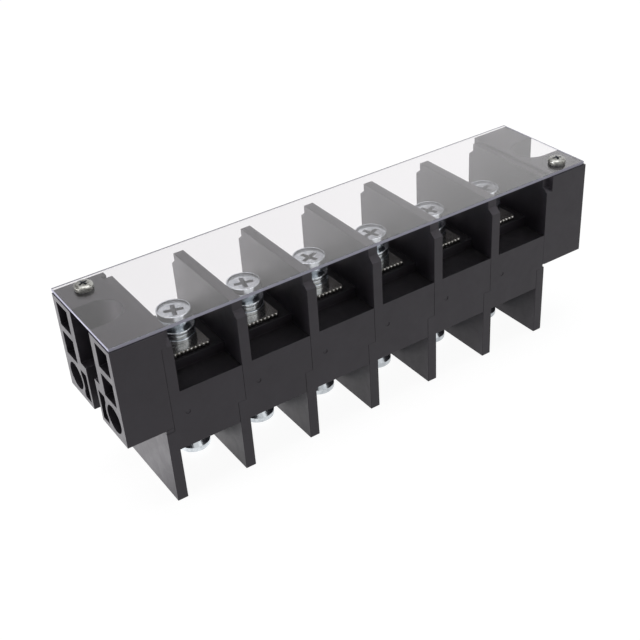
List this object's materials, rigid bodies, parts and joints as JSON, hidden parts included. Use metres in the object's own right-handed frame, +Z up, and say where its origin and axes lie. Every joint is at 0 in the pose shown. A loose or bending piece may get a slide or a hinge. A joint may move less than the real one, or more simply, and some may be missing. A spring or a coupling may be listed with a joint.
{
  "type": "terminal block",
  "caption": "Feed-through barrier terminal block with screw terminals above and below the panel, barriers, fins and a clear cover.",
  "frame": {"origin": "under the middle of the block, level with the fin tips", "axes": "+X along the row of poles, +Y to the back, +Z up"},
  "size_m": [0.1688, 0.0387, 0.0602],
  "materials": {
    "moulding": "satin moulded",
    "clear_sheet": "clear",
    "plated_steel": "bright zinc plated",
    "plated_brass": "tin plated"
  },
  "bodies": {
    "block": {"left_end_block": "moulding", "right_end_block": "moulding", "closing_fin": "moulding", "clear_cover": "clear_sheet", "tie_rod_front": "plated_steel", "tie_rod_back": "plated_steel", "tie_rod_nuts": "plated_steel", "pole_module_1": "moulding", "conductor_bush_1": "plated_brass", "top_plate_1": "plated_brass", "bottom_plate_1": "plated_brass", "pole_module_2": "moulding", "conductor_bush_2": "plated_brass", "top_plate_2": "plated_brass", "bottom_plate_2": "plated_brass", "pole_module_3": "moulding", "conductor_bush_3": "plated_brass", "top_plate_3": "plated_brass", "bottom_plate_3": "plated_brass", "pole_module_4": "moulding", "conductor_bush_4": "plated_brass", "top_plate_4": "plated_brass", "bottom_plate_4": "plated_brass", "pole_module_5": "moulding", "conductor_bush_5": "plated_brass", "top_plate_5": "plated_brass", "bottom_plate_5": "plated_brass", "pole_module_6": "moulding", "conductor_bush_6": "plated_brass", "top_plate_6": "plated_brass", "bottom_plate_6": "plated_brass"},
    "top_washers_1": {"top_washers_1": "plated_steel"},
    "top_screw_1": {"top_screw_1": "plated_steel"},
    "top_washers_2": {"top_washers_2": "plated_steel"},
    "top_screw_2": {"top_screw_2": "plated_steel"},
    "top_washers_3": {"top_washers_3": "plated_steel"},
    "top_screw_3": {"top_screw_3": "plated_steel"},
    "top_washers_4": {"top_washers_4": "plated_steel"},
    "top_screw_4": {"top_screw_4": "plated_steel"},
    "top_washers_5": {"top_washers_5": "plated_steel"},
    "top_screw_5": {"top_screw_5": "plated_steel"},
    "top_washers_6": {"top_washers_6": "plated_steel"},
    "top_screw_6": {"top_screw_6": "plated_steel"},
    "bottom_washers_1": {"bottom_washers_1": "plated_steel"},
    "bottom_screw_1": {"bottom_screw_1": "plated_steel"},
    "bottom_washers_2": {"bottom_washers_2": "plated_steel"},
    "bottom_screw_2": {"bottom_screw_2": "plated_steel"},
    "bottom_washers_3": {"bottom_washers_3": "plated_steel"},
    "bottom_screw_3": {"bottom_screw_3": "plated_steel"},
    "bottom_washers_4": {"bottom_washers_4": "plated_steel"},
    "bottom_screw_4": {"bottom_screw_4": "plated_steel"},
    "bottom_washers_5": {"bottom_washers_5": "plated_steel"},
    "bottom_screw_5": {"bottom_screw_5": "plated_steel"},
    "bottom_washers_6": {"bottom_washers_6": "plated_steel"},
    "bottom_screw_6": {"bottom_screw_6": "plated_steel"},
    "cover_screw_left": {"cover_screw_left": "plated_steel"},
    "cover_screw_right": {"cover_screw_right": "plated_steel"}
  },
  "joints": [
    {"name": "top_washers_1_lift", "type": "slide", "parent": "block", "child": "top_washers_1", "axis": [0, 0, 1], "range_m": [0, 0.0062]},
    {"name": "top_screw_1_turn", "type": "hinge", "parent": "top_washers_1", "child": "top_screw_1", "pos_m": [-0.057, 0, 0.0453], "axis": [0, 0, 1], "range_deg": [0, 2800]},
    {"name": "top_washers_2_lift", "type": "slide", "parent": "block", "child": "top_washers_2", "axis": [0, 0, 1], "range_m": [0, 0.0062]},
    {"name": "top_screw_2_turn", "type": "hinge", "parent": "top_washers_2", "child": "top_screw_2", "pos_m": [-0.034, 0, 0.0453], "axis": [0, 0, 1], "range_deg": [0, 2800]},
    {"name": "top_washers_3_lift", "type": "slide", "parent": "block", "child": "top_washers_3", "axis": [0, 0, 1], "range_m": [0, 0.0062]},
    {"name": "top_screw_3_turn", "type": "hinge", "parent": "top_washers_3", "child": "top_screw_3", "pos_m": [-0.011, 0, 0.0453], "axis": [0, 0, 1], "range_deg": [0, 2800]},
    {"name": "top_washers_4_lift", "type": "slide", "parent": "block", "child": "top_washers_4", "axis": [0, 0, 1], "range_m": [0, 0.0062]},
    {"name": "top_screw_4_turn", "type": "hinge", "parent": "top_washers_4", "child": "top_screw_4", "pos_m": [0.012, 0, 0.0453], "axis": [0, 0, 1], "range_deg": [0, 2800]},
    {"name": "top_washers_5_lift", "type": "slide", "parent": "block", "child": "top_washers_5", "axis": [0, 0, 1], "range_m": [0, 0.0062]},
    {"name": "top_screw_5_turn", "type": "hinge", "parent": "top_washers_5", "child": "top_screw_5", "pos_m": [0.035, 0, 0.0453], "axis": [0, 0, 1], "range_deg": [0, 2800]},
    {"name": "top_washers_6_lift", "type": "slide", "parent": "block", "child": "top_washers_6", "axis": [0, 0, 1], "range_m": [0, 0.0062]},
    {"name": "top_screw_6_turn", "type": "hinge", "parent": "top_washers_6", "child": "top_screw_6", "pos_m": [0.058, 0, 0.0453], "axis": [0, 0, 1], "range_deg": [0, 2800]},
    {"name": "bottom_washers_1_lift", "type": "slide", "parent": "block", "child": "bottom_washers_1", "axis": [0, 0, -1], "range_m": [0, 0.0062]},
    {"name": "bottom_screw_1_turn", "type": "hinge", "parent": "bottom_washers_1", "child": "bottom_screw_1", "pos_m": [-0.057, 0, 0.006], "axis": [0, 0, -1], "range_deg": [0, 2800]},
    {"name": "bottom_washers_2_lift", "type": "slide", "parent": "block", "child": "bottom_washers_2", "axis": [0, 0, -1], "range_m": [0, 0.0062]},
    {"name": "bottom_screw_2_turn", "type": "hinge", "parent": "bottom_washers_2", "child": "bottom_screw_2", "pos_m": [-0.034, 0, 0.006], "axis": [0, 0, -1], "range_deg": [0, 2800]},
    {"name": "bottom_washers_3_lift", "type": "slide", "parent": "block", "child": "bottom_washers_3", "axis": [0, 0, -1], "range_m": [0, 0.0062]},
    {"name": "bottom_screw_3_turn", "type": "hinge", "parent": "bottom_washers_3", "child": "bottom_screw_3", "pos_m": [-0.011, 0, 0.006], "axis": [0, 0, -1], "range_deg": [0, 2800]},
    {"name": "bottom_washers_4_lift", "type": "slide", "parent": "block", "child": "bottom_washers_4", "axis": [0, 0, -1], "range_m": [0, 0.0062]},
    {"name": "bottom_screw_4_turn", "type": "hinge", "parent": "bottom_washers_4", "child": "bottom_screw_4", "pos_m": [0.012, 0, 0.006], "axis": [0, 0, -1], "range_deg": [0, 2800]},
    {"name": "bottom_washers_5_lift", "type": "slide", "parent": "block", "child": "bottom_washers_5", "axis": [0, 0, -1], "range_m": [0, 0.0062]},
    {"name": "bottom_screw_5_turn", "type": "hinge", "parent": "bottom_washers_5", "child": "bottom_screw_5", "pos_m": [0.035, 0, 0.006], "axis": [0, 0, -1], "range_deg": [0, 2800]},
    {"name": "bottom_washers_6_lift", "type": "slide", "parent": "block", "child": "bottom_washers_6", "axis": [0, 0, -1], "range_m": [0, 0.0062]},
    {"name": "bottom_screw_6_turn", "type": "hinge", "parent": "bottom_washers_6", "child": "bottom_screw_6", "pos_m": [0.058, 0, 0.006], "axis": [0, 0, -1], "range_deg": [0, 2800]},
    {"name": "cover_screw_left_turn", "type": "hinge", "parent": "block", "child": "cover_screw_left", "pos_m": [-0.07675, 0.0136, 0.0582], "axis": [0, 0, 1], "range_deg": [0, 5760]},
    {"name": "cover_screw_right_turn", "type": "hinge", "parent": "block", "child": "cover_screw_right", "pos_m": [0.07675, -0.0136, 0.0582], "axis": [0, 0, 1], "range_deg": [0, 5760]}
  ],
  "couplings": [
    {"joint": "top_screw_1_turn", "follows": "top_washers_1_lift", "rad_per_m": 7854},
    {"joint": "top_screw_2_turn", "follows": "top_washers_2_lift", "rad_per_m": 7854},
    {"joint": "top_screw_3_turn", "follows": "top_washers_3_lift", "rad_per_m": 7854},
    {"joint": "top_screw_4_turn", "follows": "top_washers_4_lift", "rad_per_m": 7854},
    {"joint": "top_screw_5_turn", "follows": "top_washers_5_lift", "rad_per_m": 7854},
    {"joint": "top_screw_6_turn", "follows": "top_washers_6_lift", "rad_per_m": 7854},
    {"joint": "bottom_screw_1_turn", "follows": "bottom_washers_1_lift", "rad_per_m": 7854},
    {"joint": "bottom_screw_2_turn", "follows": "bottom_washers_2_lift", "rad_per_m": 7854},
    {"joint": "bottom_screw_3_turn", "follows": "bottom_washers_3_lift", "rad_per_m": 7854},
    {"joint": "bottom_screw_4_turn", "follows": "bottom_washers_4_lift", "rad_per_m": 7854},
    {"joint": "bottom_screw_5_turn", "follows": "bottom_washers_5_lift", "rad_per_m": 7854},
    {"joint": "bottom_screw_6_turn", "follows": "bottom_washers_6_lift", "rad_per_m": 7854}
  ]
}
